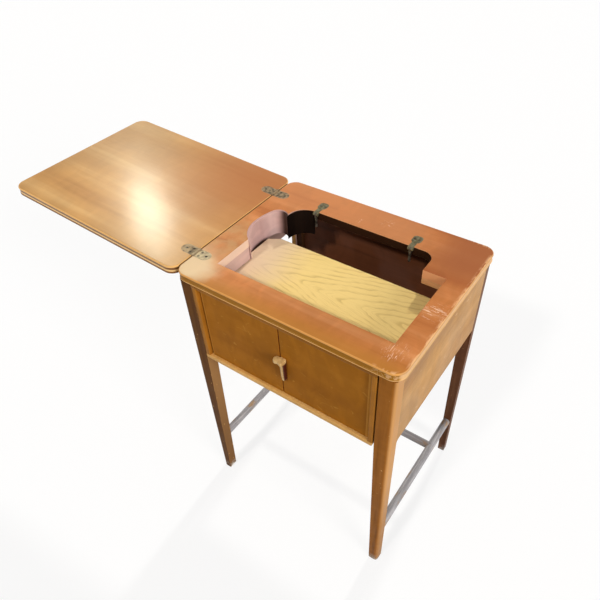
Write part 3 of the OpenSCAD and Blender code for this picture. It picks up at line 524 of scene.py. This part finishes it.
# Painted shade where the lining turns away from the light at the rear of the wheel recess.
lining_shade = number(tree, "MULTIPLY", step(tree, axis(tree, place, 0), 0.050, 0.070),
                   step(tree, axis(tree, place, 1), 0.0, 0.03))
colour = blend(tree, lining_shade, colour, tint(66, 46, 38))
# Painted light: paler still towards the front.
painted_light_share = step(tree, axis(tree, place, 1), 0.0, -0.10)
colour = blend(tree, number(tree, "MULTIPLY", painted_light_share, 0.5), colour, tint(214, 186, 176))
lacquer(tree, shader, place, colour, pores, 0.5, 0.25)
dress(finish, "wheel_lining", "well_wall")
# Painted shade: the motor lining is near black, standing in for the shade in that recess.
dress(plain_finish("lining_dark", (tint(14, 9, 7), tint(20, 13, 10), tint(28, 18, 13)), 2,
                   rough=0.6, gloss=0.06), "motor_lining")
dress(plain_finish("pale_block", (tint(186, 124, 76), tint(206, 146, 96), tint(220, 166, 118)), 0,
                   tint(234, 200, 156)), "doubler_right")
dress(plain_finish("dark_block", (tint(58, 36, 26), tint(74, 46, 32), tint(90, 58, 42)), 0,
                   rough=0.6, gloss=0.15), "doubler_rear")


# ---------------------------------------------------------------- top board
# A plywood top with an orange-brown veneer, a bead at both arrises and a shallow channel
# between them. Beads and rim are rubbed pale, the veneer is scratched at the right and
# faded round the front lid hinge, and the well's cut faces are bare, dark at the rear. A cream
# patch at the front left corner and the mauve of the cut faces at the left are painted light.
def from_outline(tree, place, middle, half, corner):
    """How far a point lies outside a round-cornered board, in millimetres."""
    off = arrow(tree, "ABSOLUTE", arrow(tree, "SUBTRACT", place, middle))
    off = arrow(tree, "SUBTRACT", off, (half.x - corner, half.y - corner, 10.0))
    off = arrow(tree, "MAXIMUM", off, (0.0, 0.0, 0.0))
    return number(tree, "MULTIPLY", 1000.0,
                  number(tree, "SUBTRACT", arrow(tree, "LENGTH", off, outlet=1), corner))


board_corner = 0.027


def beaded(tree, place, colour, middle, half, upper, lower, channel):
    """Colours a moulded edge's beads, channel and grimy hinge side; also how far out it is."""
    outside = from_outline(tree, place, middle, half, board_corner)
    rise = number(tree, "SUBTRACT", axis(tree, place, 2), middle.z)
    bead = blend(tree, step(tree, rise, -0.001, 0.001), lower, upper)
    colour = blend(tree, step(tree, outside, -2.6, -1.4), colour, bead)
    off_seam = number(tree, "ABSOLUTE", axis(tree, place, 0))
    grime = step(tree, off_seam, 0.0022, 0.0012, 0.0, 0.85)
    colour = blend(tree, grime, colour, tint(92, 58, 32))
    between_beads = step(tree, number(tree, "ABSOLUTE", rise), half.z - 0.0032, half.z - 0.0046)
    groove = number(tree, "MULTIPLY", between_beads, step(tree, outside, -2.4, -1.8))
    return blend(tree, groove, colour, channel), outside


def scratches(tree, place, centre, reach, along, share):
    """Fine scratches through the lacquer round a spot."""
    near = arrow(tree, "DISTANCE", place, centre, outlet=1)
    lines = cloud(tree, stretched(tree, place, along, 0.12), 420.0, 2.0, 0.5, 1.5)
    return number(tree, "MULTIPLY", step(tree, lines, 0.60 - share, 0.66 - share),
                  step(tree, near, reach, reach * 0.3))


low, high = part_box("top_board")
top_middle, top_half = (low + high) / 2, (high - low) / 2
finish, tree, shader, place = new_finish("top_veneer")
colour, pores = wood(tree, place, 0, (tint(170, 98, 52), tint(191, 120, 68), tint(204, 137, 85)),
                     0.045, 0.1, 0.06, 0.10)
near_edge = step(tree, axis(tree, place, 1), -0.165, -0.215)
colour = blend(tree, number(tree, "MULTIPLY", near_edge, 0.7), colour, tint(178, 118, 44))
darker = number(tree, "MULTIPLY", step(tree, axis(tree, place, 0), 0.36, 0.50),
                step(tree, axis(tree, place, 1), 0.0, 0.14))
colour = blend(tree, number(tree, "MULTIPLY", darker, 0.9), colour, tint(160, 95, 59))
rosy = number(tree, "MULTIPLY", step(tree, axis(tree, place, 0), 0.44, 0.34),
              step(tree, axis(tree, place, 1), 0.05, 0.16))
colour = blend(tree, number(tree, "MULTIPLY", rosy, 0.5), colour, tint(206, 140, 96))
front_corner, behind_hinge = (0.022, -0.178, high.z), (0.030, -0.060, high.z)
# Painted highlight: a cream patch at the front left corner, glare from the lamp behind on the left.
ragged = strayed(tree, place, {"Scale": 20.0}, (0.06, 0.06, 0.0))
painted_glare_halo = step(tree, arrow(tree, "DISTANCE", ragged, front_corner, outlet=1), 0.085, 0.02)
colour = blend(tree, number(tree, "MULTIPLY", painted_glare_halo, 0.8), colour, tint(232, 208, 166))
faded = step(tree, arrow(tree, "DISTANCE", place, behind_hinge, outlet=1), 0.12, 0.03)
patchy = step(tree, cloud(tree, place, 30.0, 3.0, 0.6), 0.35, 0.65, 0.2, 0.65)
faded = number(tree, "MULTIPLY", faded, patchy)
colour = blend(tree, faded, colour, tint(200, 158, 108))
right_side = step(tree, axis(tree, place, 0), 0.536, 0.543)
colour, outside = beaded(tree, place, colour, top_middle, top_half,
                         blend(tree, right_side, tint(222, 160, 88), tint(210, 160, 106)),
                         tint(230, 182, 118),
                         blend(tree, right_side, tint(156, 104, 24), tint(236, 190, 134)))
cut = number(tree, "MULTIPLY", step(tree, outside, -12.0, -20.0),
             step(tree, number(tree, "ABSOLUTE", facing(tree, 2)), 0.5, 0.3))
# Painted light: the well's cut faces at the left are mauve, paler to the front, as glare.
painted_light_share = step(tree, axis(tree, place, 0), 0.12, 0.07)
# The rear cut faces are darkened below the veneer.
at_rear = number(tree, "MULTIPLY", step(tree, axis(tree, place, 0), 0.448, 0.440),
                 step(tree, axis(tree, place, 1), 0.09, 0.11))
below_veneer = step(tree, axis(tree, place, 2), high.z - 0.0008, high.z - 0.0022)
rear_cut_darkened = number(tree, "MULTIPLY", at_rear, below_veneer)
lit_mauve = blend(tree, step(tree, axis(tree, place, 1), -0.05, -0.03), tint(236, 206, 186),
              tint(200, 166, 160))
exposed = blend(tree, painted_light_share, tint(220, 156, 110), lit_mauve)
colour = blend(tree, cut, colour, blend(tree, rear_cut_darkened, exposed, tint(44, 24, 14)))
worn = number(tree, "MULTIPLY", rubbed(tree, place, 0.0018, 0.5),
              step(tree, outside, -30.0, -12.0, 0.25, 0.7))
colour = blend(tree, worn, colour, tint(240, 196, 146))
rim = number(tree, "MULTIPLY", step(tree, outside, -9.0, -2.0), step(tree, outside, -0.6, -1.4))
rim = number(tree, "MULTIPLY", rim, step(tree, axis(tree, place, 0), 0.47, 0.52))
dashes = cloud(tree, stretched(tree, place, 1, 0.25), 130.0, 3.0, 0.6)
rim = number(tree, "MULTIPLY", rim, step(tree, dashes, 0.46, 0.60))
colour = blend(tree, number(tree, "MULTIPLY", rim, 0.7), colour, tint(236, 190, 140))
for centre, reach, along, share in (((0.505, -0.165, high.z), 0.034, 1, 0.03),
                                    ((0.520, -0.035, high.z), 0.036, 0, 0.03),
                                    ((0.300, 0.175, high.z), 0.020, 0, 0.0),
                                    ((0.240, 0.150, high.z), 0.012, 1, 0.02)):
    marks = number(tree, "MULTIPLY", scratches(tree, place, centre, reach, along, share), 0.75)
    colour = blend(tree, marks, colour, tint(242, 208, 178))
lacquer(tree, shader, place, colour, pores, 0.38, 0.08)
dress(finish, "top_board")


# ---------------------------------------------------------------- lid
# The second leaf of the top, folded over to the left. Its upper side is its inner face,
# a golden veneer that has kept its gloss, redder towards the back and the hinges. Its edge
# has the same beads; a golden band along the channel is a painted highlight, and painted
# shade darkens the channel under the upper bead and the lower bead.
lift = math.radians(3.4)
pin_rise = 0.00025
pin_line = Vector((0.0, 0.0, high.z + pin_rise))
finish, tree, shader, place = new_finish("lid_veneer")
place = add(tree, "VectorRotate", {"Vector": place, "Center": pin_line, "Angle": -lift},
            rotation_type="Y_AXIS").outputs[0]
colour, pores = wood(tree, place, 0, (tint(166, 114, 54), tint(190, 140, 76), tint(207, 163, 103)),
                     0.07, 0.08, 0.025, 0.12)
redder = number(tree, "MULTIPLY", step(tree, axis(tree, place, 0), -0.44, -0.06),
                step(tree, axis(tree, place, 1), -0.20, 0.16))
colour = blend(tree, number(tree, "MULTIPLY", redder, 0.85), colour, tint(178, 108, 58))
lid_middle = Vector((-top_middle.x, 0.0, top_middle.z))
# Painted highlight: a golden band along the channel where it catches the light, with painted shade
# just under the upper bead and on the lower bead.
under_bead = number(tree, "SUBTRACT", axis(tree, place, 2), top_middle.z)
painted_glint_band = number(tree, "MULTIPLY", step(tree, under_bead, 0.0015, -0.0015),
                   step(tree, under_bead, -0.0055, -0.0040))
colour, outside = beaded(tree, place, colour, lid_middle, top_half, tint(232, 182, 112),
                         tint(122, 76, 34),
                         blend(tree, painted_glint_band, tint(122, 76, 26), tint(248, 204, 136)))
worn = number(tree, "MULTIPLY", rubbed(tree, place, 0.0018, 0.4), 0.5)
colour = blend(tree, worn, colour, tint(238, 200, 150))
lacquer(tree, shader, place, colour, pores, 0.37, 0.24, 0.02)
shader.inputs["Coat Weight"].default_value = 0.26
shader.inputs["Coat Roughness"].default_value = 0.19
dress(finish, "lid_board")


# ---------------------------------------------------------------- hinges
# Lid hinges of dull aged brass and head hinges of olive grey steel, let in flush and held
# by slotted countersunk screws. The head hinges' arms hang into the well.
def metal(name, bright, dull, rough, shine=0.7, faded=0.0):
    """Metal under a patchy skin; at the front lid hinge the skin may have faded."""
    finish, tree, shader, place = new_finish(name)
    skin = step(tree, cloud(tree, place, 120.0, 3.0, 0.5), 0.36, 0.68)
    edge = number(tree, "MULTIPLY", rubbed(tree, place, 0.0008, 0.9), 0.6)
    colour = blend(tree, edge, blend(tree, skin, bright, dull), bright)
    if faded:
        front_hinge = (0.030, -0.150, high.z)
        off_hinge = arrow(tree, "DISTANCE", place, front_hinge, outlet=1)
        colour = blend(tree, step(tree, off_hinge, 0.050, 0.014, 0.0, faded), colour,
                       tint(214, 196, 160))
    tree.links.new(colour, shader.inputs["Base Color"])
    tree.links.new(step(tree, skin, 0.0, 1.0, rough, rough + 0.2), shader.inputs["Roughness"])
    shader.inputs["Metallic"].default_value = shine
    return finish


leaf_brass = metal("leaf_brass", tint(168, 142, 108), tint(122, 104, 82), 0.5, 0.5, faded=0.55)
plate_steel = metal("plate_steel", tint(136, 128, 96), tint(104, 96, 70), 0.5, 0.5)
arm_steel = metal("arm_steel", tint(128, 120, 108), tint(36, 32, 28), 0.4)
screw_steel = metal("screw_steel", tint(120, 108, 88), tint(58, 50, 42), 0.4)
dress(leaf_brass, "lid_hinge_leaves", "top_hinge_leaves", "top_hinge_pins")
dress(plate_steel, "head_hinge_plates")
dress(arm_steel, "head_hinge_arm_left", "head_hinge_arm_right", "head_hinge_pins")
saw_cut = (0.0080, 0.0009, 0.0016)


def slotted_screws(name, node, body, slot_places):
    """The CAD model's screws with a slot sawn into each head."""
    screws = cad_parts[node].copy()
    screws.data = screws.data.copy()
    screws.name = screws.data.name = name
    scene.collection.objects.link(screws)
    bpy.context.view_layer.objects.active = screws
    screws.select_set(True)
    bpy.ops.object.mode_set(mode="EDIT")
    bpy.ops.mesh.select_all(action="SELECT")
    bpy.ops.mesh.remove_doubles(threshold=0.00001)
    bpy.ops.object.mode_set(mode="OBJECT")
    screws.select_set(False)
    saws = []
    for place, angle, tipped in slot_places:
        bpy.ops.mesh.primitive_cube_add(size=1.0, location=place, scale=saw_cut,
                                        rotation=(0.0, tipped, angle))
        saws.append(bpy.context.object)
    for saw in saws:
        saw.select_set(True)
    bpy.context.view_layer.objects.active = saws[0]
    bpy.ops.object.join()
    cut = screws.modifiers.new("slots", "BOOLEAN")
    cut.operation = "DIFFERENCE"
    cut.solver = "EXACT"
    cut.object = saws[0]
    bpy.ops.object.select_all(action="DESELECT")
    screws.select_set(True)
    bpy.context.view_layer.objects.active = screws
    bpy.ops.object.modifier_apply(modifier=cut.name)
    bpy.ops.object.shade_smooth_by_angle(angle=math.radians(35))
    bpy.data.objects.remove(saws[0])
    screws.data.materials.clear()
    screws.data.materials.append(screw_steel)
    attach(screws, body)
    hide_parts(node)
    bpy.ops.object.select_all(action="DESELECT")


lid_hinge_y, leaf_spots = 0.143, ((0.0124, -0.007), (0.0124, 0.007), (0.029, 0.0))
slots = [((x, side * lid_hinge_y + y, high.z), 0.7 + 1.9 * nth + side, 0.0)
         for side in (-1, 1) for nth, (x, y) in enumerate(leaf_spots)]
slotted_screws("top_screws", "top_hinge_screws", "cabinet", slots)
slots = [(Matrix.Rotation(lift, 3, "Y") @ Vector((-x, side * lid_hinge_y + y, -pin_rise))
          + pin_line, 0.2 + 2.3 * nth - side, lift)
         for side in (-1, 1) for nth, (x, y) in enumerate(leaf_spots)]
slotted_screws("lid_screws", "lid_hinge_screws", "lid", slots)
plate_xs, plate_screws_y, half_apart = (0.1355, 0.3855), 0.156, 0.00575
slots = [((x + side * half_apart, plate_screws_y, high.z), 0.9 * side + 8 * x, 0.0)
         for x in plate_xs for side in (-1, 1)]
slotted_screws("plate_screws", "head_hinge_screws", "cabinet", slots)
